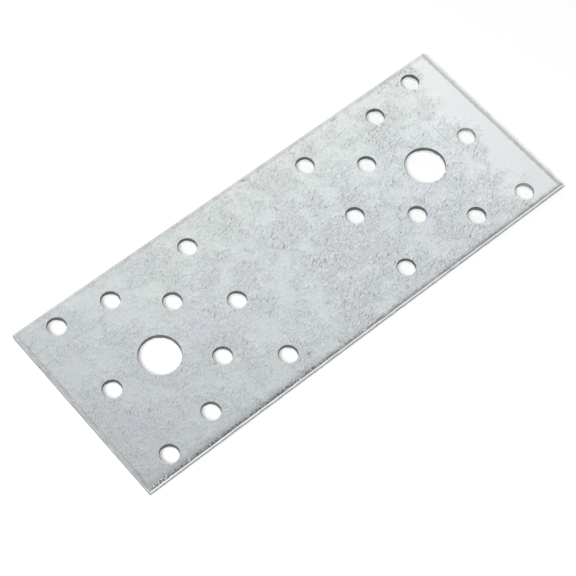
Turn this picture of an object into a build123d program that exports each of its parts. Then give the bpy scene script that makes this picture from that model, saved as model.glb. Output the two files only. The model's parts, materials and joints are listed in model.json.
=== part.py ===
"""Flat mending plate: one blank of galvanised steel sheet, sheared to size and punched.

Two bolt holes lie on the centre line, with nail holes spread around them in rows.
Shear and punches came down on the front face, so the metal is drawn over there at each cut.
Below that the cut wall is smooth and upright, and near the back face it broke away.

Frame: +X along the plate, +Y across it, +Z out of the front face.
The origin is the centre of the back face, which the plate lies on.
"""

from build123d import *
import os

# The blank
length = 140.0
width = 55.0
thickness = 2.5

# Sheared outer edges: the wide shallow roll at the front, the break at the back
edge_roll_reach = 1.4
edge_roll_drop = 0.35
edge_break_height = 1.05
edge_break_set_back = 0.12

# Punched holes: the tight deep roll at the front, the break at the back
hole_roll_reach = 0.25
hole_roll_drop = 0.45
hole_break_height = 0.8
hole_break_flare = 0.12

# Hole sizes
bolt_hole_diameter = 11.0
nail_hole_diameter = 5.0

# Rows of holes across the plate, each by its distance from the nearer end
end_row_inset = 10.0
bolt_row_inset = 25.0
staggered_row_inset = 37.0
inner_row_inset = 50.0

# Outer holes of each row, by their distance from the nearer long edge
end_row_margin = 5.0
bolt_row_margin = 7.5
staggered_row_margin = 17.5
inner_row_margin = 7.5


def sheared_section(plane, span):
    """Section of the blank across one span, with a sheared wall at both ends.

    The roll leaves the front face smoothly and meets the upright wall at an edge.
    """
    half_span = span / 2
    with BuildSketch(plane) as section:
        with BuildLine():
            back = Line((0, 0), (half_span - edge_break_set_back, 0))
            broken = Line(back @ 1, (half_span, edge_break_height))
            sheared = Line(broken @ 1, (half_span, thickness - edge_roll_drop))
            roll_start = (half_span - edge_roll_reach, thickness)
            roll = TangentArc(roll_start, sheared @ 1, tangent=(1, 0))
            Line(roll @ 0, (0, thickness))
            mirror(about=Plane.YZ)
        make_face()
    return section.sketch


def punched_space(diameter, faceted):
    """Space that one punched hole leaves, from under the back face to over the front.

    The roll runs smoothly into the upright wall and meets the front face at an edge.
    The small holes are many, so theirs is faceted: two flats in place of the curve.
    """
    radius = diameter / 2
    below = -thickness
    above = 2 * thickness
    with BuildPart() as space:
        with BuildSketch(Plane.XZ):
            with BuildLine():
                foot = Line((0, below), (radius + hole_break_flare, below))
                exit_rim = Line(foot @ 1, (radius + hole_break_flare, 0))
                broken = Line(exit_rim @ 1, (radius, hole_break_height))
                sheared = Line(broken @ 1, (radius, thickness - hole_roll_drop))
                roll_end = (radius + hole_roll_reach, thickness)
                use = Mode.PRIVATE if faceted else Mode.ADD
                roll = TangentArc(sheared @ 1, roll_end, tangent=(0, 1), mode=use)
                if faceted:
                    Polyline(roll @ 0, roll @ 0.5, roll @ 1)
                entry_rim = Line(roll @ 1, (radius + hole_roll_reach, above))
                Polyline(entry_rim @ 1, (0, above), (0, below))
            make_face()
        revolve(axis=Axis.Z)
    return space.part


def between(span, inset):
    """Hole to hole distance of two holes that lie the same inset from both ends of a span."""
    return span - 2 * inset


# Each grid holds four nail holes, or two where its pitch across the plate is nought
nail_grids = (
    (between(length, end_row_inset), between(width, end_row_margin)),
    (between(length, end_row_inset), 0),
    (between(length, bolt_row_inset), between(width, bolt_row_margin)),
    (between(length, staggered_row_inset), between(width, staggered_row_margin)),
    (between(length, inner_row_inset), between(width, inner_row_margin)),
    (between(length, inner_row_inset), 0),
)

nail_space = punched_space(nail_hole_diameter, faceted=True)
bolt_space = punched_space(bolt_hole_diameter, faceted=False)

# The blank, where the two sections cross: its rolled edges meet in a mitre at each corner
with BuildPart() as plate:
    extrude(sheared_section(Plane.YZ, width), amount=length / 2, both=True)
    lengthwise = sheared_section(Plane.XZ, length)
    extrude(lengthwise, amount=width / 2, both=True, mode=Mode.INTERSECT)

    # Nail holes, in rows that mirror each other about the middle of the plate
    for along, across in nail_grids:
        with GridLocations(along, across, 2, 2 if across else 1):
            add(nail_space, mode=Mode.SUBTRACT)

    # Bolt holes, one near each end on the centre line
    with GridLocations(between(length, bolt_row_inset), 0, 2, 1):
        add(bolt_space, mode=Mode.SUBTRACT)

plate.part.label = "plate"

os.makedirs("parts", exist_ok=True)
export_step(plate.part, "parts/plate.step")
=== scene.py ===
# %% [markdown]
# # A galvanised mending plate
#
# A mending plate is sheet steel that was dipped in zinc, rolled flat, sheared to size and
# punched. Almost all that the eye gets from it comes from three things: the soft mottled
# zinc of the face, the edges that the shear and the punches drew over, and the cut walls
# below them. So the plate is modelled anew with those edges, in the place and at the size
# that the frame gives, and each of the three surfaces gets a finish of its own.

import json
import math
from collections import namedtuple

import bmesh
import bpy
from mathutils import Matrix, Vector, noise


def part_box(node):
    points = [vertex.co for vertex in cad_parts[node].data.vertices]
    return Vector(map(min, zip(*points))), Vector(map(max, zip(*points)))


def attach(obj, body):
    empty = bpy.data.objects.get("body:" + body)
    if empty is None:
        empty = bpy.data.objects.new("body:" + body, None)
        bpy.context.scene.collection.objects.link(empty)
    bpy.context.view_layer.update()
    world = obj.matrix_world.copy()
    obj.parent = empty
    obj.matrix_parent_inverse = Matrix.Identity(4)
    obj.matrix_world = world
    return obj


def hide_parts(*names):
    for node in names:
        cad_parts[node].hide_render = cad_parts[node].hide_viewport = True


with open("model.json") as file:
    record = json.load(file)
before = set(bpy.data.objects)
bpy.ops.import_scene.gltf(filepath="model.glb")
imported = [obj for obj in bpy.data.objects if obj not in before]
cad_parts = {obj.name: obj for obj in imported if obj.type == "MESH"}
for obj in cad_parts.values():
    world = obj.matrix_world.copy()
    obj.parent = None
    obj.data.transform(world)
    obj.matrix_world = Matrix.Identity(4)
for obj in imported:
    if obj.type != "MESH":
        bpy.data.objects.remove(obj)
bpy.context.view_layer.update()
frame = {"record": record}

MM = 0.001
HAIR = 1e-7  # two places closer than this, in metres, are one
low, high = (Vector(corner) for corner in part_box("plate"))
length, width, thickness = high - low
print(f"plate {length / MM:.1f} x {width / MM:.1f} x {thickness / MM:.2f} mm")

# %% [markdown]
# The holes aren't written down again here. The record lists them as patterns of two or
# four, each with its spacings and its radius, so their places are worked out from it.

# %% Hole places
def places_of(pattern):
    """Centre and radius of each hole of one pattern, in metres."""
    x, y, _ = pattern["pos_m"]
    half_x = pattern["dims"].get("spacing_x_mm", 0) * MM / 2
    half_y = pattern["dims"].get("spacing_y_mm", 0) * MM / 2
    radius = pattern["dims"]["hole_r_mm"] * MM
    corners = {(x + i * half_x, y + j * half_y) for i in (-1, 1) for j in (-1, 1)}
    return [(Vector((*corner, 0)), radius) for corner in sorted(corners)]


patterns = [m for m in frame["record"]["mounts"] if m["kind"] == "bolt_pattern"]
holes = [place for pattern in patterns for place in places_of(pattern)]
print(len(holes), "holes")

# %% [markdown]
# ## The cut
#
# A sheared edge has three bands. Where the blade enters, the surface is drawn over into a
# soft roll. Then the blade rubs the wall smooth and upright. Near the far side the metal
# breaks away, rough and a little undercut. Along the outer edges the roll is wide and
# shallow, and around a punched hole it is tight and deep. No two millimetres are the same,
# so the sizes wander a little along each edge, in smooth waves.

# %% Sizes of the outer edges
Roll = namedtuple("Roll", "creased reach sink lip_reach lip_drop lip_bend seed")
ROLLS = {  # in mm: how far in the face bends, how deep, its lip, and the draw of its waves
    "near": Roll(False, 0.60, 0.12, 0.22, 0.48, 1.1, 1.5),
    "far": Roll(False, 0.60, 0.14, 0.16, 0.04, 2.0, 11.5),
    "left": Roll(True, 0.94, 0.09, 0.14, 0.10, 2.0, 21.5),
    "right": Roll(True, 1.68, 0.30, 0.80, 0.50, 2.0, 31.5),
}  # a lip's bend is 1 for a flat chamfer and 2 for a round
ROLL_END = 3.2 * MM  # beyond this the face is flat
EDGE_BREAK_HEIGHT = 1.75 * MM
EDGE_DARK_END = 0.6 * MM  # the broken wall is painted with shade down to here, and below with a reflection of the table
EDGE_SET_BACK = 0.12 * MM

# %% Sizes of the holes
HOLE_ROLL_REACH = 0.11 * MM
ROLL_LEAN = 0.6  # the punches stood a little off, so each hole's roll is wider on one side
ROLL_LEAN_WAY = math.radians(115)
RIM_FLAT = 0.08 * MM  # a flat ring around each hole, which keeps its rim crisp
HOLE_ROLL_DROP = 0.30 * MM
HOLE_BREAK_HEIGHT = 0.8 * MM
HOLE_FLARE = 0.12 * MM
RIM_SHADE_DEPTH = 0.95 * MM  # painted shade down the wall below each rim, this deep

# %% Waves
Wave = namedtuple("Wave", "share size seed")  # how strong, how long, and which draw of noise
ROLL_REACH_WAVE = Wave(0.12, 0.8 * MM, 5)
ROLL_DEPTH_WAVE = Wave(0.14, 3.0 * MM, 0)
# how the depth of the rim's painted shade wanders
RIM_SHADE_WAVE = Wave(0.15, 1.3 * MM, 31.5)
HOLE_BREAK_WAVE = Wave(0.18, 1.1 * MM, 41.5)
HOLE_TEAR = Wave(0.035 * MM, 0.3 * MM, 51.5)  # roughness of the broken wall
EDGE_BREAK_WAVES = (Wave(0.13 * MM, 2.2 * MM, 61.5), Wave(0.078 * MM, 0.5 * MM, 63.5))
EDGE_TEAR = Wave(0.0105 * MM, 0.3 * MM, 71.5)


def wander(place, wave, shift=0):
    """A smooth number between about -share and +share that changes over the wave's size."""
    spot = Vector((place.x / wave.size, place.y / wave.size, wave.seed + shift))
    return 2 * wave.share * noise.noise(spot)

# %% [markdown]
# ## The face as a grid
#
# One large flat face can't be drawn over at its edges, so the face is a grid. Its lines
# are eased towards the edges: close together where the roll bends, and wider in the
# middle, where nothing does.

# %% Face grid
PITCH = 0.78 * MM  # grid spacing in the middle of the plate
EASE = 0.9  # 0 spaces the lines evenly, 1 crowds them most at the edges


def eased(share):
    """Moves a grid line from -1..1 towards the nearer edge."""
    return (1 - EASE) * share + EASE * math.sin(share * math.pi / 2)


plate = bmesh.new()
stretch = (1 - EASE) + EASE * math.pi / 2
columns, rows = (round(side * stretch / PITCH) for side in (length, width))
bmesh.ops.create_grid(plate, x_segments=columns, y_segments=rows, size=1)
for vert in plate.verts:
    vert.co.x = eased(vert.co.x) * length / 2
    vert.co.y = eased(vert.co.y) * width / 2
    vert.co.z = thickness
outer_edges = [edge for edge in plate.edges if edge.is_boundary]
print(f"face grid of {columns} x {rows}, {len(outer_edges)} edges round it")

# %% [markdown]
# Each hole takes out the grid's faces around it. A circle goes in the middle of that
# window, and the strip between the two is filled with triangles, which is what the
# triangle fill operator is for: it needs nothing but the two closed loops of edges.

# %% Windows and circles
SLACK = 0.12 * MM  # least room between a circle and its window
FACET = 0.2 * MM  # length of a circle's facets


def near(vert, centre, reach):
    """Whether a vertex is closer than this to a hole's axis."""
    return (vert.co.xy - centre.xy).length < reach


def outermost(vert):
    """Whether a vertex is on the outline of the plate."""
    return length / 2 - abs(vert.co.x) < HAIR or width / 2 - abs(vert.co.y) < HAIR


def cut_window(centre, rim):
    """Opens the grid around one rim and fills up to it. Returns the rim's edges."""
    around = [v for v in plate.verts if near(v, centre, rim + SLACK)]
    gone = {face for vert in around for face in vert.link_faces}
    bmesh.ops.delete(plate, geom=list(gone), context="FACES")
    reach = rim + SLACK + 2 * PITCH
    window = [
        e for e in plate.edges
        if e.is_boundary and all(near(v, centre, reach) for v in e.verts)
        and not all(outermost(v) for v in e.verts)
    ]
    circle = bmesh.ops.create_circle(
        plate, cap_ends=False, segments=round(math.tau * rim / FACET), radius=rim,
        matrix=Matrix.Translation((centre.x, centre.y, thickness)),
    )
    ring = list({edge for vert in circle["verts"] for edge in vert.link_edges})
    bmesh.ops.triangle_fill(plate, use_beauty=True, edges=window + ring)
    return ring


rims = [cut_window(centre, radius + HOLE_ROLL_REACH + RIM_FLAT) for centre, radius in holes]
print(len(plate.faces), "faces on the front after the windows")

# %% [markdown]
# ## Drawing the edges over
#
# The front face sinks towards each outer edge. Along the two long edges, which a rotary
# knife slit, the sinking dies away softly. Across the two ends, which a blade cropped, it
# is an even bevel with a crease where it meets the face. The last bit before the wall is a
# round lip, widest at the right end, where the blade was blunt. Depth and reach wander along
# every edge. Where two edges meet, the deeper of their two drops holds, as in a mitre.

# %% Outer roll
def sunk(roll, place, gap):
    """How far the face has sunk, from 0 to 1, this far in from one edge."""
    reach = roll.reach * MM * (1 + wander(place, ROLL_REACH_WAVE, roll.seed))
    if roll.creased:
        return max(0.0, 1 - gap / reach)
    tail = math.exp(-ROLL_END / reach)
    return max(0.0, math.exp(-gap / reach) - tail) / (1 - tail)


def drop(side, place, gap):
    """Drop of the front at this place along one edge and this far in from it."""
    roll = ROLLS[side]
    round_off = max(0.0, 1 - gap / (roll.lip_reach * MM))
    lip = 1 - (1 - round_off**roll.lip_bend) ** (1 / roll.lip_bend)
    depth = 1 + wander(place, ROLL_DEPTH_WAVE, roll.seed)
    return depth * MM * (roll.sink * sunk(roll, place, gap) + roll.lip_drop * lip)


for vert in plate.verts:
    x, y = vert.co.xy
    along_x, along_y = Vector((x, 0, 0)), Vector((0, y, 0))
    vert.co.z -= max(
        drop("near", along_x, width / 2 + y),
        drop("far", along_x, width / 2 - y),
        drop("left", along_y, length / 2 + x),
        drop("right", along_y, length / 2 - x),
    )
print("deepest roll", round((thickness - min(v.co.z for v in plate.verts)) / MM, 3), "mm")

# %% [markdown]
# ## The walls
#
# Every wall, inside or out, grows from its top ring of edges: the ring is extruded, and
# the new ring is put where the section of the cut says. One function does that, and it
# takes the section as a function of where the ring is. The steep lip of the near edge was
# rubbed bright together with the wall below it.

# %% Growing walls
SKIN, RIM_SHADE, SHEARED, LEDGE, FOOT, PUNCHED, CROPPED = range(7)  # material slots


def grow(ring, place, slot):
    """Extrudes one ring of edges, places its vertices and returns the new ring."""
    made = bmesh.ops.extrude_edge_only(plate, edges=ring)["geom"]
    verts = {part for part in made if isinstance(part, bmesh.types.BMVert)}
    for part in made:
        if isinstance(part, bmesh.types.BMFace):
            part.material_index = slot
            part.smooth = True
    for vert in verts:
        vert.co = place(vert.co)
    return [
        part for part in made
        if isinstance(part, bmesh.types.BMEdge) and set(part.verts) <= verts
    ]


lip_line = -width / 2 + ROLLS["near"].lip_reach * MM
for face in plate.faces:
    on_lip = face.calc_center_median().y < lip_line
    face.material_index = SHEARED if on_lip else SKIN
    face.smooth = True

# %% [markdown]
# Around a hole the roll is a quarter of an ellipse, level where it leaves the face and
# upright where it meets the wall. The rubbed wall is a plain cylinder. The broken wall
# opens towards the back, and its surface is torn.

# %% Section of a hole
ROLL_STEPS = 7
SKIN_STEPS = 1  # of the roll, the steps that still carry smooth zinc
SHEAR_STEPS = 3
BREAK_STEPS = 5


def polar(centre, reach, height):
    """A placing that moves a ring to this distance from a hole's centre."""
    def place(point):
        out = (point.xy - centre.xy).normalized() * reach(point)
        return Vector((centre.x + out.x, centre.y + out.y, height(point)))
    return place


def rolled(centre, radius, share):
    """Distance from a hole's centre to its roll, whose share is 0 at the wall and 1 at the face."""
    def reach(point):
        out = point.xy - centre.xy
        lean = 1 + ROLL_LEAN * math.cos(math.atan2(out.y, out.x) - ROLL_LEAN_WAY)
        return radius + HOLE_ROLL_REACH * lean * share
    return reach


def rim_shade_line(point):
    """Height at which the painted shade below a hole's rim ends."""
    return thickness - HOLE_ROLL_DROP - RIM_SHADE_DEPTH * (1 + wander(point, RIM_SHADE_WAVE))


def hole_break_line(point):
    """Height at which a hole's wall broke."""
    return HOLE_BREAK_HEIGHT * (1 + wander(point, HOLE_BREAK_WAVE))


# %% Hole walls
def punch_wall(ring, centre, radius):
    """The flat ring, the roll, the rubbed wall and the broken wall of one hole."""
    ring = grow(ring, polar(centre, rolled(centre, radius, 1.0), lambda p: thickness), SKIN)
    for step in range(1, ROLL_STEPS + 1):
        angle = step / ROLL_STEPS * math.pi / 2
        reach = rolled(centre, radius, 1 - math.sin(angle))
        height = thickness - HOLE_ROLL_DROP * (1 - math.cos(angle))
        # the roll past its first steps, and the wall below, carry the rim's painted shade
        slot = SKIN if step <= SKIN_STEPS else RIM_SHADE
        ring = grow(ring, polar(centre, reach, lambda p: height), slot)
    ring = grow(ring, polar(centre, lambda p: radius, rim_shade_line), RIM_SHADE)
    for step in range(1, SHEAR_STEPS + 1):
        share = step / SHEAR_STEPS
        level = lambda p: rim_shade_line(p) + (hole_break_line(p) - rim_shade_line(p)) * share
        ring = grow(ring, polar(centre, lambda p: radius, level), SHEARED)
    for step in range(1, BREAK_STEPS + 1):
        share = step / BREAK_STEPS
        flared = radius + HOLE_FLARE * share
        torn = lambda p: flared + abs(wander(p, HOLE_TEAR, step))
        level = lambda p: hole_break_line(p) * (1 - share)
        if step == BREAK_STEPS:
            torn = lambda p: flared
            level = lambda p: 0.0
        ring = grow(ring, polar(centre, torn, level), PUNCHED)
    return ring


exits = [punch_wall(rim, *hole) for rim, hole in zip(rims, holes)]
print(len(plate.faces), "faces with the hole walls")

# %% [markdown]
# The outer wall starts at the rolled edge, whose height wanders, and comes down to the
# line where the metal broke. Below it the wall steps back towards the foot.

# %% Section of the outer wall
def edge_break_line(point):
    """Height at which the outer wall broke."""
    return EDGE_BREAK_HEIGHT + sum(wander(point, wave) for wave in EDGE_BREAK_WAVES)


def drawn_in(point, inset, height):
    """The same point of the outline with its wall set back and at another height."""
    x = point.x * (1 - inset / (length / 2))
    y = point.y * (1 - inset / (width / 2))
    return Vector((x, y, height))


def outline_key(point):
    """The same pair of whole numbers for every point above one spot of the outline."""
    return round(point.x / HAIR), round(point.y / HAIR)


# %% Outer wall
def shear_wall(ring):
    """The rubbed wall and the broken wall of the outer edge."""
    top = {outline_key(vert.co): vert.co.z for edge in ring for vert in edge.verts}
    for step in range(1, SHEAR_STEPS + 1):
        share = step / SHEAR_STEPS

        def rubbed(point):
            start = top[outline_key(point)]
            return Vector((point.x, point.y, start + (edge_break_line(point) - start) * share))
        ring = grow(ring, rubbed, SHEARED)
    for step in range(1, BREAK_STEPS + 1):
        share = step / BREAK_STEPS

        def torn(point):
            last = step == BREAK_STEPS
            ragged = 0.0 if last else abs(wander(point, EDGE_TEAR, step))
            height = 0.0 if last else edge_break_line(point) * (1 - share)
            return drawn_in(point, EDGE_SET_BACK / BREAK_STEPS + ragged, height)
        # the upper torn wall is painted dark as shade, the lower pale as a reflection of the table
        dark = EDGE_BREAK_HEIGHT * (1 - share) > EDGE_DARK_END
        ring = grow(ring, torn, LEDGE if dark else FOOT)
    return ring


foot = shear_wall(outer_edges)

# %% [markdown]
# ## The back
#
# The back lies on the floor and stays flat, so one fill between the foot of the outer
# wall and the exits of the holes is enough. Then every face is turned outwards, and edges
# that fold by more than 35 degrees are marked sharp, so that shading breaks there. The
# rubbed wall of the two ends gets the duller finish of a cropped cut.

# %% Back face
back = bmesh.ops.triangle_fill(
    plate, use_beauty=True, edges=foot + [edge for ring in exits for edge in ring])
for part in back["geom"]:
    if isinstance(part, bmesh.types.BMFace):
        part.material_index = SKIN
        part.smooth = True
bmesh.ops.recalc_face_normals(plate, faces=plate.faces)

# %% Ends and folds
FOLD = math.radians(35)
for face in plate.faces:
    at_end = abs(face.calc_center_median().x) > length / 2 - 10 * HAIR
    if face.material_index == SHEARED and at_end:
        face.material_index = CROPPED
for edge in plate.edges:
    edge.smooth = len(edge.link_faces) == 2 and edge.calc_face_angle(0) < FOLD
open_edges = sum(not edge.is_manifold for edge in plate.edges)
print(len(plate.faces), "faces in all,", open_edges, "open edges, volume",
      round(plate.calc_volume() / MM**3), "cubic mm")

# %% The piece
mesh = bpy.data.meshes.new("plate_dressed")
plate.to_mesh(mesh)
plate.free()
dressed = bpy.data.objects.new("plate_dressed", mesh)
bpy.context.scene.collection.objects.link(dressed)
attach(dressed, "root")
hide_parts("plate")
print(dressed.name, "has", len(mesh.vertices), "vertices")

# %% [markdown]
# ## Materials
#
# Colours are written as sRGB hex, and one function turns them to the linear values that
# the sockets take. One more adds a node with its settings and its links, and a third lays
# colours over one another. A ramp turns one number into another: from its start to its end
# it goes smoothly from low to high.

# %% Helpers for materials
Ramp = namedtuple("Ramp", "start end low high", defaults=(0.0, 1.0))
NOISE, RAMP, MATH = "ShaderNodeTexNoise", "ShaderNodeMapRange", "ShaderNodeMath"
MAPPING, VECTORS, MIX = "ShaderNodeMapping", "ShaderNodeVectorMath", "ShaderNodeMix"
SMOOTH = {"interpolation_type": "SMOOTHSTEP"}  # eases a ramp in and out
TIMES, PLUS, TIMES_PLUS, LARGER, UNSIGNED = (
    {"operation": name} for name in ("MULTIPLY", "ADD", "MULTIPLY_ADD", "MAXIMUM", "ABSOLUTE"))


def linear(hex_colour):
    """Linear RGBA of an sRGB colour such as C8CDD0."""
    parts = [int(hex_colour[i:i + 2], 16) / 255 for i in (0, 2, 4)]
    return [p / 12.92 if p <= 0.04045 else ((p + 0.055) / 1.055) ** 2.4 for p in parts] + [1]


def add(tree, kind, inputs=(), **settings):
    """Adds a node. Its inputs are values, outputs or other nodes, in order or by name."""
    node = tree.nodes.new(kind)
    for name, value in settings.items():
        setattr(node, name, value)
    pairs = inputs.items() if isinstance(inputs, dict) else enumerate(inputs)
    for socket, value in pairs:
        if isinstance(value, bpy.types.Node):
            value = next(output for output in value.outputs if output.enabled)
        if isinstance(value, bpy.types.NodeSocket):
            tree.links.new(value, node.inputs[socket])
        else:
            node.inputs[socket].default_value = value
    return node


def painted(tree, under, layers):
    """Lays colours over a first one, each as strongly as the product of its shares."""
    for over, *shares in layers:
        strength = shares[0]
        for share in shares[1:]:
            strength = add(tree, MATH, (strength, share), **TIMES)
        under = add(tree, MIX, {"Factor": strength, "A": under, "B": over}, data_type="RGBA")
    return under


def new_material(name):
    """An empty node material and its tree, ready for a surface."""
    material = bpy.data.materials.new(name)
    material.use_nodes = True
    material.node_tree.nodes.clear()
    return material, material.node_tree


def finish_surface(name, tree, inputs):
    """Gives a tree its one surface, and says how many nodes it took."""
    surface = add(tree, "ShaderNodeBsdfPrincipled", inputs)
    add(tree, "ShaderNodeOutputMaterial", {"Surface": surface})
    print(name, "has", len(tree.nodes), "nodes")


# %% [markdown]
# ### Skin-passed zinc
#
# The face is hot-dip galvanised steel that was rolled lightly afterwards. The rolls press
# the zinc crystals flat, so what is left is a satin grey with soft patches. Where the
# rolls bridged, the zinc keeps a fine pebbled grain, drawn out along one diagonal of the
# plate. Its colour carries painted light: painted highlights on the crests of the grain and
# painted shade, as dark specks, in its deepest hollows. The patches are some 7 mm wide
# and the grain is about a third of a millimetre.
#
# All of it follows from three things: where a spot is on the plate, how far in it is from
# each edge, and soft noise of several sizes.

# %% Places and clouds
CLOUDS = {  # size in mm of each soft noise, by what it changes
    "crowd": 7, "stray": 6, "bluish": 13, "greyish": 5, "rag": 0.8, "far patch": 2.5,
    "blotch": 2, "uneven": 1.2, "mottle": 0.7, "near patch": 3.5, "pit": 0.6, "fleck": 0.5,
    "fleck place": 4}
FINER = {"Detail": 3.0, "Roughness": 0.6}  # how much finer noise each cloud carries

zinc_finish, zinc = new_material("skin_passed_zinc")
here = add(zinc, "ShaderNodeTexCoord").outputs["Object"]
axes = add(zinc, "ShaderNodeSeparateXYZ", [here])
along, across = axes.outputs["X"], axes.outputs["Y"]
gap = {
    side: add(zinc, MATH, (axis, way, half), **TIMES_PLUS)
    for side, axis, way, half in (
        ("left", along, 1, length / 2), ("right", along, -1, length / 2),
        ("near", across, 1, width / 2), ("far", across, -1, width / 2))
}
cloud = {
    name: add(zinc, NOISE, {"Vector": here, "Scale": 1 / (size * MM), **FINER})
    for name, size in CLOUDS.items()
}
layers = []  # colours to be laid over the zinc, and the shares that say where and how much
print(len(zinc.nodes), "nodes for places and clouds")

# %% [markdown]
# The grain is crowded in patches, and it grows a little coarser from left to right. It
# stops short of the right end, along a line that strays, and there the zinc is smooth.

# %% Grain
GRAIN = 0.33 * MM
GRAIN_WAY = math.radians(32)
GRAIN_DRAWN = 3.3  # how much longer than wide the grain is
GRAIN_SWIRL = 0.8
GRAIN_RELIEF = 0.12 * MM
CROWDED = Ramp(0.34, 0.62, 0.40)  # how strong the grain is in each patch
BARE_STRAY, BARE_LEAN = 28 * MM, -0.07  # how far the smooth end's line strays, and its slant
BARE = Ramp(68 * MM, 80 * MM)
STILL_GRAINED = Ramp(0, 1, 1.0, 0.12)  # a trace of grain is left on the smooth end
COARSER = Ramp(-length / 2, length / 2, 0.7, 1.2)
# painted shade in the grain's hollows and painted highlights on its crests
SPECK_SHADE, CREST_HIGHLIGHT = Ramp(0.45, 0.29), Ramp(0.51, 0.71, 0.0, 0.78)
CREST_HIGHLIGHT_ALONG = Ramp(-length / 2, 0, 0.5)

crowd = add(zinc, RAMP, (cloud["crowd"], *CROWDED), **SMOOTH)
strayed = add(zinc, MATH, (cloud["stray"], BARE_STRAY, along), **TIMES_PLUS)
slanted = add(zinc, MATH, (across, BARE_LEAN, strayed), **TIMES_PLUS)
bare = add(zinc, RAMP, (slanted, *BARE), **SMOOTH)
amount = crowd
for ramp in (add(zinc, RAMP, (bare, *STILL_GRAINED), **SMOOTH),
             add(zinc, RAMP, (along, *COARSER), **SMOOTH)):
    amount = add(zinc, MATH, (amount, ramp), **TIMES)
drawn = add(zinc, MAPPING, {
    "Vector": here, "Rotation": (0, 0, GRAIN_WAY), "Scale": (GRAIN_DRAWN, 1, 1)},
    vector_type="TEXTURE")
grain = add(zinc, NOISE, {
    "Vector": drawn, "Scale": 1 / GRAIN, "Distortion": GRAIN_SWIRL, **FINER})
relief = add(zinc, MATH, (grain, amount), **TIMES)
bump = add(zinc, "ShaderNodeBump", {"Height": relief, "Strength": 1, "Distance": GRAIN_RELIEF})
print(len(zinc.nodes), "nodes with the grain")

# %% [markdown]
# The tints are faint: bluish and greyish patches on a greenish zinc that turns greener
# towards the far edge, and paler towards the right, a painted highlight. Over them go
# painted highlights on the crests of the grain and painted shade, as dark specks, in its
# hollows.

# %% Tints
BLUISH, GREYISH = Ramp(0.35, 0.65), Ramp(0.52, 0.72)
FARWARD = Ramp(6 * MM, 22 * MM)
GREEN_START = Ramp(-50 * MM, -25 * MM)
GREEN_SHARE = 0.7
# a painted highlight: the zinc is painted paler towards the right end
PALER_HIGHLIGHT = Ramp(36 * MM, 62 * MM, 0.0, 0.6)

farward = add(zinc, RAMP, (across, *FARWARD), **SMOOTH)
smooth_zinc = painted(zinc, linear("D5D8D9"), [(linear("D5D9D7"), farward)])
layers += [
    # bluish patches, then greyish ones
    (linear("D2D6DB"), add(zinc, RAMP, (cloud["bluish"], *BLUISH), **SMOOTH)),
    (linear("D4D7DA"), add(zinc, RAMP, (cloud["greyish"], *GREYISH), **SMOOTH)),
    # greener towards the far edge, and a painted highlight: paler towards the right end
    (linear("D3D9D6"), farward, GREEN_SHARE,
     add(zinc, RAMP, (along, *GREEN_START), **SMOOTH)),
    (linear("DEE2E2"), add(zinc, RAMP, (along, *PALER_HIGHLIGHT), **SMOOTH)),
    (smooth_zinc, bare),
    # painted highlights on the crests, and painted shade as dark specks in the hollows
    (linear("F4F6F6"), add(zinc, RAMP, (grain, *CREST_HIGHLIGHT), **SMOOTH), amount,
     add(zinc, RAMP, (along, *CREST_HIGHLIGHT_ALONG), **SMOOTH)),
    (linear("909493"), add(zinc, RAMP, (grain, *SPECK_SHADE), **SMOOTH), amount),
]
print(len(layers), "layers with the tints and the grain")

# %% [markdown]
# A scratch lies across the plate between the right bolt hole and the end row. Along the
# far edge the zinc is darker in a ragged, patchy band, darker still at the lip, and two
# smudges are on it. One bright chip is near the middle of the face.

# %% Marks
SCRATCH_X, SCRATCH_Y = 54.9 * MM, 4.5 * MM
SCRATCH_ACROSS = Ramp(0.22 * MM, 0)  # from its side to its middle line
SCRATCH_ALONG = Ramp(5.5 * MM, 2.5 * MM, 0.1, 0.4)
SCRATCH_FADE = Ramp(-5.5 * MM, 0)  # it starts faintly
FAR_RAGGED = -1.6 * MM  # how far the inner side of the dull band strays
FAR_DARKENING = Ramp(0.7 * MM, 0.1 * MM)
FAR_PATCHY = Ramp(0.38, 0.60, 0.35, 0.62)
FAR_LIP = Ramp(0.5 * MM, 0.1 * MM, 0.0, 0.6)
Spot = namedtuple("Spot", "x y radius drawn strength")  # mm, and how much longer than wide
SMUDGES = Spot(35.6, 26.4, 0.7, 2.4, 0.4), Spot(4.0, 26.6, 0.5, 1.4, 0.7)
CHIP = Spot(11.0, -2.9, 0.4, 1.0, 1.0)
SPOT_RIM, SPOT_CORE = 1.0, 0.2  # of its radius


def spot_share(spot):
    """How much of one spot shows at a place."""
    away = add(zinc, MAPPING, {
        "Vector": here, "Location": (spot.x * MM, spot.y * MM, thickness),
        "Scale": (spot.drawn * spot.radius * MM, spot.radius * MM, MM)}, vector_type="TEXTURE")
    distance = add(zinc, VECTORS, [away], operation="LENGTH")
    return add(zinc, RAMP, (distance, SPOT_RIM, SPOT_CORE, 0, spot.strength), **SMOOTH)


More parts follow.
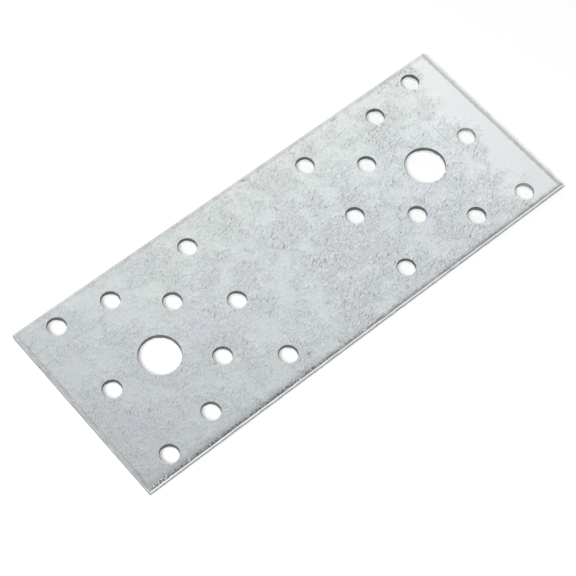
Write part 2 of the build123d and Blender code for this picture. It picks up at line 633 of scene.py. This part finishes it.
aside, beyond = (
    add(zinc, MATH, [add(zinc, MATH, (axis, -place), **PLUS)], **UNSIGNED)
    for axis, place in ((along, SCRATCH_X), (across, SCRATCH_Y)))
far_ragged = add(zinc, MATH, (cloud["rag"], FAR_RAGGED, gap["far"]), **TIMES_PLUS)
far_band = add(zinc, MATH, (
    add(zinc, RAMP, (far_ragged, *FAR_DARKENING), **SMOOTH),
    add(zinc, RAMP, (cloud["far patch"], *FAR_PATCHY), **SMOOTH)), **TIMES)
far_lip = add(zinc, RAMP, (gap["far"], *FAR_LIP), **SMOOTH)
layers += [
    # the scratch, the darker band of the far edge, the smudges and the chip
    (linear("7C807F"), add(zinc, RAMP, (aside, *SCRATCH_ACROSS), **SMOOTH),
     add(zinc, RAMP, (beyond, *SCRATCH_ALONG), **SMOOTH),
     add(zinc, RAMP, (across, *SCRATCH_FADE), **SMOOTH)),
    (linear("AFAAAA"), add(zinc, MATH, (far_band, far_lip), **LARGER)),
    *((linear("757473"), spot_share(smudge)) for smudge in SMUDGES),
    (linear("FFFFFF"), spot_share(CHIP)),
]
print(len(layers), "layers with the marks")

# %% [markdown]
# The bevel of the left end carries painted highlights in blotches, inside a thin line of
# painted shade on its crease, and less so at the far corner. On the right end a darker
# band, uneven on its inner side, ends before a painted highlight on the lip.

# %% Ends
LEFT_REACH, RIGHT_REACH = ROLLS["left"].reach * MM, ROLLS["right"].reach * MM
# painted highlights on the left bevel and its lip
LEFT_HIGHLIGHT = Ramp(LEFT_REACH, LEFT_REACH - 0.3 * MM, 0.0, 0.8)
LEFT_LIP_HIGHLIGHT = Ramp(0.9 * MM, 0.3 * MM, 0.0, 0.8)
OFF_CORNER = Ramp(0, 3 * MM, 0.45)
BLOTCHED = Ramp(0.42, 0.60, 1.0, 0.45)
LEFT_CREASE_SHADE = Ramp(0.28 * MM, 0, 0.0, 0.16)  # painted shade on the crease
RIGHT_OUTER = Ramp(0.3 * MM, 0.95 * MM)
RIGHT_UNEVEN = 1.1 * MM
RIGHT_INNER = Ramp(RIGHT_REACH + 0.66 * MM, RIGHT_REACH + 0.38 * MM)
RIGHT_MOTTLED = Ramp(0.3, 0.6, 0.75, 1.1)
# a painted highlight on the right lip
RIGHT_LIP_HIGHLIGHT = Ramp(0.65 * MM, 0.25 * MM)

off_corner = add(zinc, RAMP, (gap["far"], *OFF_CORNER), **SMOOTH)
blotch = add(zinc, RAMP, (cloud["blotch"], *BLOTCHED), **SMOOTH)
past_crease = add(zinc, MATH, (gap["left"], -LEFT_REACH), **PLUS)
off_crease = add(zinc, MATH, [past_crease], **UNSIGNED)
uneven = add(zinc, MATH, (cloud["uneven"], RIGHT_UNEVEN, gap["right"]), **TIMES_PLUS)
layers += [
    # painted highlights on the left bevel and its lip, and painted shade on its crease
    *((linear("F7FAFB"), add(zinc, RAMP, (gap["left"], *highlight_ramp), **SMOOTH), off_corner, blotch)
      for highlight_ramp in (LEFT_HIGHLIGHT, LEFT_LIP_HIGHLIGHT)),
    (linear("8F9393"), add(zinc, RAMP, (off_crease, *LEFT_CREASE_SHADE), **SMOOTH), blotch),
    # the right band, and a painted highlight on its lip
    (linear("B5B6B6"), add(zinc, RAMP, (gap["right"], *RIGHT_OUTER), **SMOOTH),
     add(zinc, RAMP, (uneven, *RIGHT_INNER), **SMOOTH),
     add(zinc, RAMP, (cloud["mottle"], *RIGHT_MOTTLED), **SMOOTH)),
    (linear("FFFFFF"), add(zinc, RAMP, (gap["right"], *RIGHT_LIP_HIGHLIGHT), **SMOOTH)),
]
print(len(layers), "layers with the ends")

# %% [markdown]
# Zinc stretched over the near edge cracked and went dull there, and that band also
# carries painted shade, the dark that the rolled edge turns towards; both are worst
# towards the left. Bits of the zinc broke out and left black pits. Flecks of it flaked off
# white where that edge begins, and here and there along it.

# %% Near edge
NEAR_BEGINS = Ramp(-69.2 * MM, -68.2 * MM)  # the corner before this stayed whole
NEAR_RAGGED = -1.4 * MM  # how far the inner side of the cracked band strays
NARROWER = Ramp(-10 * MM, 20 * MM, 0, 0.04 * MM)
CRACKED_AND_SHADED = Ramp(-0.3 * MM, 0.6 * MM, 0.75, 0.0)
LEFTWARD = Ramp(0, -30 * MM)
SMEAR_AND_SHADE = Ramp(0.4 * MM, 3.1 * MM, 0.38, 0.0)
PATCHY = Ramp(0.35, 0.62, 0.5, 1.1)
CORNER = Ramp(-61 * MM, -64 * MM)  # the worst of it is before this
WORN_AND_SHADED_LEFT = 0.4  # how much darker the worn zinc and its painted shade are towards the left
PITS, PIT_DEPTH = Ramp(0.50, 0.60), Ramp(1.35 * MM, 0.75 * MM)
PITS_ALONG = Ramp(10 * MM, -30 * MM, 0.2, 0.9)
FLECKS, FLECKS_ALONG = Ramp(0.52, 0.58, 0.0, 0.9), Ramp(0.60, 0.66, 0.0, 0.7)
FLECK_DEPTH = Ramp(1.5 * MM, 0.9 * MM)

begins = add(zinc, RAMP, (along, *NEAR_BEGINS), **SMOOTH)
left = add(zinc, RAMP, (along, *LEFTWARD), **SMOOTH)
corner = add(zinc, RAMP, (along, *CORNER), **SMOOTH)
ragged = add(zinc, MATH, (cloud["rag"], NEAR_RAGGED, gap["near"]), **TIMES_PLUS)
narrower = add(zinc, RAMP, (along, *NARROWER), **SMOOTH)
cracked_and_shaded = add(zinc, RAMP, (add(zinc, MATH, (ragged, narrower), **PLUS), *CRACKED_AND_SHADED), **SMOOTH)
smear_and_shade = add(zinc, MATH, (add(zinc, RAMP, (gap["near"], *SMEAR_AND_SHADE), **SMOOTH), left), **TIMES)
# the near band's colour is partly real worn zinc and partly painted shade
worn_and_shaded = painted(zinc, linear("8F9393"), [
    (linear("757A7A"), left, WORN_AND_SHADED_LEFT), (linear("5E6161"), corner)])
layers += [
    # worn zinc with painted shade, then pits
    (worn_and_shaded, add(zinc, MATH, (cracked_and_shaded, smear_and_shade), **LARGER), begins,
     add(zinc, RAMP, (cloud["near patch"], *PATCHY), **SMOOTH)),
    (linear("4E5152"), add(zinc, RAMP, (cloud["pit"], *PITS), **SMOOTH),
     add(zinc, RAMP, (gap["near"], *PIT_DEPTH), **SMOOTH),
     add(zinc, RAMP, (along, *PITS_ALONG), **SMOOTH), begins),
]
flaked = add(zinc, MATH, (
    corner, add(zinc, RAMP, (cloud["fleck place"], *FLECKS_ALONG), **SMOOTH)), **LARGER)
for share in (add(zinc, RAMP, (gap["near"], *FLECK_DEPTH), **SMOOTH), begins,
              add(zinc, RAMP, (cloud["fleck"], *FLECKS), **SMOOTH)):
    flaked = add(zinc, MATH, (flaked, share), **TIMES)
layers += [(linear("F4F6F6"), flaked)]  # white flecks
print(len(layers), "layers with the near edge")

# %% [markdown]
# Flaked zinc is no mirror, so the flecks are matt. Grained zinc is a little rougher than
# smooth zinc.

# %% Zinc surface
ROUGHNESS = Ramp(0, 1, 0.28, 0.38)
finish_surface("zinc", zinc, {
    "Base Color": painted(zinc, linear("D1D8D7"), layers),
    "Metallic": add(zinc, MATH, (1, flaked), operation="SUBTRACT"),
    "Roughness": add(zinc, RAMP, (amount, *ROUGHNESS), **SMOOTH),
    "Normal": bump})

# %% [markdown]
# ### Cut walls
#
# Fresh steel shows in the cuts. The rubbed wall is bright, the cropped ends are duller.
# The torn ledge of the outer edge is rough and painted dark as shade above a foot painted
# pale as a reflection of the table, and the torn part of a hole is painted pale as a
# reflection of the table it opens towards. The dark ring inside each rim is painted shade,
# lighter at the smooth right end.

# %% Cut finishes
RIM_SHADE_END, RIM_SHADE_SIDE = Ramp(52 * MM, 56 * MM), Ramp(16 * MM, 8 * MM)
# the painted shade of the holes' rims
RIM_SHADE_METALLIC, RIM_SHADE_ROUGHNESS = 0.1, 0.6


def plain_metal(name, hex_colour, roughness):
    material, tree = new_material(name)
    finish_surface(name, tree, {
        "Base Color": linear(hex_colour), "Metallic": 1, "Roughness": roughness})
    return material


def rim_shade_paint():
    """Painted shade on the holes' walls below the rims, lighter at the right end short of the far
    corner.
    """
    material, tree = new_material("rim_shade_paint")
    here = add(tree, "ShaderNodeTexCoord").outputs["Object"]
    place = add(tree, "ShaderNodeSeparateXYZ", [here])
    colour = painted(tree, linear("666A6C"), [(
        linear("A2A4A5"),
        add(tree, RAMP, (place.outputs["X"], *RIM_SHADE_END)),
        add(tree, RAMP, (place.outputs["Y"], *RIM_SHADE_SIDE)))])
    finish_surface("rim_shade_paint", tree, {
        "Base Color": colour, "Metallic": RIM_SHADE_METALLIC, "Roughness": RIM_SHADE_ROUGHNESS})
    return material


finishes = {
    SKIN: zinc_finish,  # satin grey with soft patches
    RIM_SHADE: rim_shade_paint(),  # painted shade: the dark ring inside each rim
    SHEARED: plain_metal("rubbed_steel_wall", "E3E5E6", 0.28),  # the bright line of a cut
    LEDGE: plain_metal("torn_steel_ledge_painted_shade", "8C8E8F", 0.6),  # painted shade: the dark line below it
    FOOT: plain_metal("torn_steel_foot_painted_reflection", "DDDFE0", 0.5),  # painted reflection of the table: pale next to it
    PUNCHED: plain_metal("torn_steel_in_hole_painted_reflection", "F4F5F6", 0.5),  # painted reflection of the table's white
    CROPPED: plain_metal("cropped_steel_end", "C4C8CA", 0.45),  # an even grey
}
for slot in sorted(finishes):
    dressed.data.materials.append(finishes[slot])

# %% [markdown]
# ## Studio
#
# The plate lies on a white table inside a light tent. The camera doesn't see the tent, only
# the white world behind it. The tent is bright at the back and falls off softly towards
# the camera, so that the rolled rims, which turn that way, read dark against the face.

# %% Tent
TENT_RADIUS = 2.5
BELOW = -0.01  # the tent ends this far below the table's level


def staged(name, shape):
    """Makes a thing of the studio from its shape."""
    data = bpy.data.meshes.new(name)
    shape.to_mesh(data)
    shape.free()
    thing = bpy.data.objects.new(name, data)
    bpy.context.scene.collection.objects.link(thing)
    return thing


dome = bmesh.new()
bmesh.ops.create_icosphere(dome, subdivisions=4, radius=TENT_RADIUS)
under = [vert for vert in dome.verts if vert.co.z < BELOW]
bmesh.ops.delete(dome, geom=under, context="VERTS")
bmesh.ops.reverse_faces(dome, faces=dome.faces)
tent = staged("tent", dome)
tent.visible_camera = False
tent.visible_diffuse = False
tent.visible_shadow = False
print("tent of", len(tent.data.polygons), "faces")

# %% [markdown]
# The cloth's light follows the angle from its bright side. On top of that one panel of it
# is a soft bright window, and a dark card stands low on the right.

# %% Cloth
BRIGHT_SIDE = math.radians(36)  # the tent is brightest this way round from +X
TONES = {  # share of full light against the cosine from the bright side
    -0.87: 0.12, -0.46: 0.36, -0.18: 0.46, 0.30: 0.23, 0.44: 0.93, 1.0: 0.86}
WINDOW_WAY = Vector((0.45, 0.70, 0.59)).normalized()
WINDOW = Ramp(0.75, 1.0, 0.0, 0.58)
CARD_WAY = math.radians(-30)
CARD = Ramp(0.5, 0.85, 1.0, 0.5)

cloth, cloth_tree = new_material("tent_cloth")
spot = add(cloth_tree, "ShaderNodeTexCoord").outputs["Object"]
way = add(cloth_tree, VECTORS, [spot], operation="NORMALIZE")
facing, window, right = (
    add(cloth_tree, VECTORS, (way, towards), operation="DOT_PRODUCT")
    for towards in (
        (math.cos(BRIGHT_SIDE), math.sin(BRIGHT_SIDE), 0), WINDOW_WAY,
        (math.cos(CARD_WAY), math.sin(CARD_WAY), 0)))
share = add(cloth_tree, RAMP, (facing, -1, 1))
tones = add(cloth_tree, "ShaderNodeValToRGB", [share])
stops = tones.color_ramp.elements
while len(stops) < len(TONES):
    stops.new(0.5)
for stop, (cosine, tone) in zip(stops, sorted(TONES.items())):
    stop.position = (cosine + 1) / 2
    stop.color = (tone, tone, tone, 1)
tones.color_ramp.interpolation = "EASE"
panel = add(cloth_tree, RAMP, (window, *WINDOW), **SMOOTH)
card = add(cloth_tree, RAMP, (right, *CARD), **SMOOTH)
lit = add(cloth_tree, MATH, (add(cloth_tree, MATH, (tones, panel), **PLUS), card), **TIMES)
glow = add(cloth_tree, "ShaderNodeEmission", (linear("FFFFFF"), lit))
add(cloth_tree, "ShaderNodeOutputMaterial", [glow])
cloth.cycles.emission_sampling = "NONE"
tent.data.materials.append(cloth)
print("cloth has", len(cloth_tree.nodes), "nodes")

# %% [markdown]
# Matt things, such as the table, get an even light from the room instead, and the camera
# sees the room as plain white.

# %% World
ROOM_LEVEL = 0.36


def seen_directly(tree):
    """1 for camera, glossy and transmission rays, and 0 for the rays that light matt things."""
    path = add(tree, "ShaderNodeLightPath").outputs
    either = add(tree, MATH, (path["Is Camera Ray"], path["Is Glossy Ray"]), **LARGER)
    return add(tree, MATH, (either, path["Is Transmission Ray"]), **LARGER)


world = bpy.data.worlds.new("white_room")
bpy.context.scene.world = world
world.use_nodes = True
world.node_tree.nodes.clear()
strength = add(world.node_tree, RAMP, (seen_directly(world.node_tree), 0, 1, ROOM_LEVEL, 1))
room = add(world.node_tree, "ShaderNodeBackground", (linear("FFFFFF"), strength))
add(world.node_tree, "ShaderNodeOutputWorld", [room])
print(world.name, "lights matt things at", ROOM_LEVEL)

# %% [markdown]
# The table is over-exposed, as in a cut-out photo: camera, glossy and transmission rays
# add a glow to its paint, so it reads white, yet the plate's shadow still darkens it.

# %% Table
TABLE_HALF = 2.5
TABLE_GLOW = 0.08

board = bmesh.new()
bmesh.ops.create_grid(board, x_segments=1, y_segments=1, size=TABLE_HALF)
table = staged("table", board)
paint, paint_tree = new_material("white_table")
matt, pale = (
    add(paint_tree, "ShaderNodeBsdfDiffuse", [linear(grey)]) for grey in ("E8E8E8", "FFFFFF"))
glow = add(paint_tree, "ShaderNodeEmission", (linear("FFFFFF"), TABLE_GLOW))
seen = add(paint_tree, "ShaderNodeAddShader", (pale, glow))
either = add(paint_tree, "ShaderNodeMixShader", (seen_directly(paint_tree), matt, seen))
add(paint_tree, "ShaderNodeOutputMaterial", [either])
table.data.materials.append(paint)
print("paint has", len(paint_tree.nodes), "nodes")

# %% [markdown]
# One large lamp stands on the left. It throws the soft shade into the holes and adds the
# level that the tent alone lacks on matt things. It isn't seen in reflections.

# %% Lamp
LAMP_WAY = math.radians(200)
LAMP_TILT = math.radians(31)  # down from overhead
LAMP_DISTANCE = 1.2
LAMP_SIDE = 0.5
LAMP_WATTS = 11.0

lamp = bpy.data.lights.new("lamp", "AREA")
lamp.shape = "SQUARE"
lamp.size, lamp.energy = LAMP_SIDE, LAMP_WATTS
stand = bpy.data.objects.new("lamp", lamp)
aim = Matrix.Rotation(LAMP_WAY, 4, "Z") @ Matrix.Rotation(LAMP_TILT, 4, "Y")
stand.matrix_world = aim @ Matrix.Translation((0, 0, LAMP_DISTANCE))
stand.visible_glossy = False
bpy.context.scene.collection.objects.link(stand)
print("lamp of", LAMP_WATTS, "W at", [round(place, 2) for place in stand.matrix_world.translation])

# %% [markdown]
# ## Camera
#
# The lens is long, which keeps the far end nearly as large as the near one. The camera
# looks down at the front face from beyond the near left corner, and it is rolled a few
# degrees, as a hand-held or a cropped view is.

# %% Camera
AIM = Vector((-7.75, -5.51, 2.5)) * MM  # where the middle of the view meets the face
DISTANCE = 483.5 * MM
BEARING = math.radians(-135.49)
ELEVATION = math.radians(60.39)
CAMERA_ROLL = math.radians(5.716)
SENSOR, LENS = 36.0, 118.65  # mm

outwards = Vector((
    math.cos(ELEVATION) * math.cos(BEARING),
    math.cos(ELEVATION) * math.sin(BEARING),
    math.sin(ELEVATION),
))
camera = bpy.data.objects.new("camera", bpy.data.cameras.new("camera"))
camera.data.sensor_width, camera.data.lens = SENSOR, LENS
camera.location = AIM + outwards * DISTANCE
upright = outwards.to_track_quat("Z", "Y").to_matrix().to_4x4()
camera.matrix_world = (
    Matrix.Translation(camera.location) @ upright @ Matrix.Rotation(CAMERA_ROLL, 4, "Z"))
bpy.context.scene.collection.objects.link(camera)
bpy.context.scene.camera = camera
bpy.context.scene.view_settings.view_transform = "Standard"
print("camera", round(DISTANCE / MM), "mm from the plate, lens", LENS, "mm")
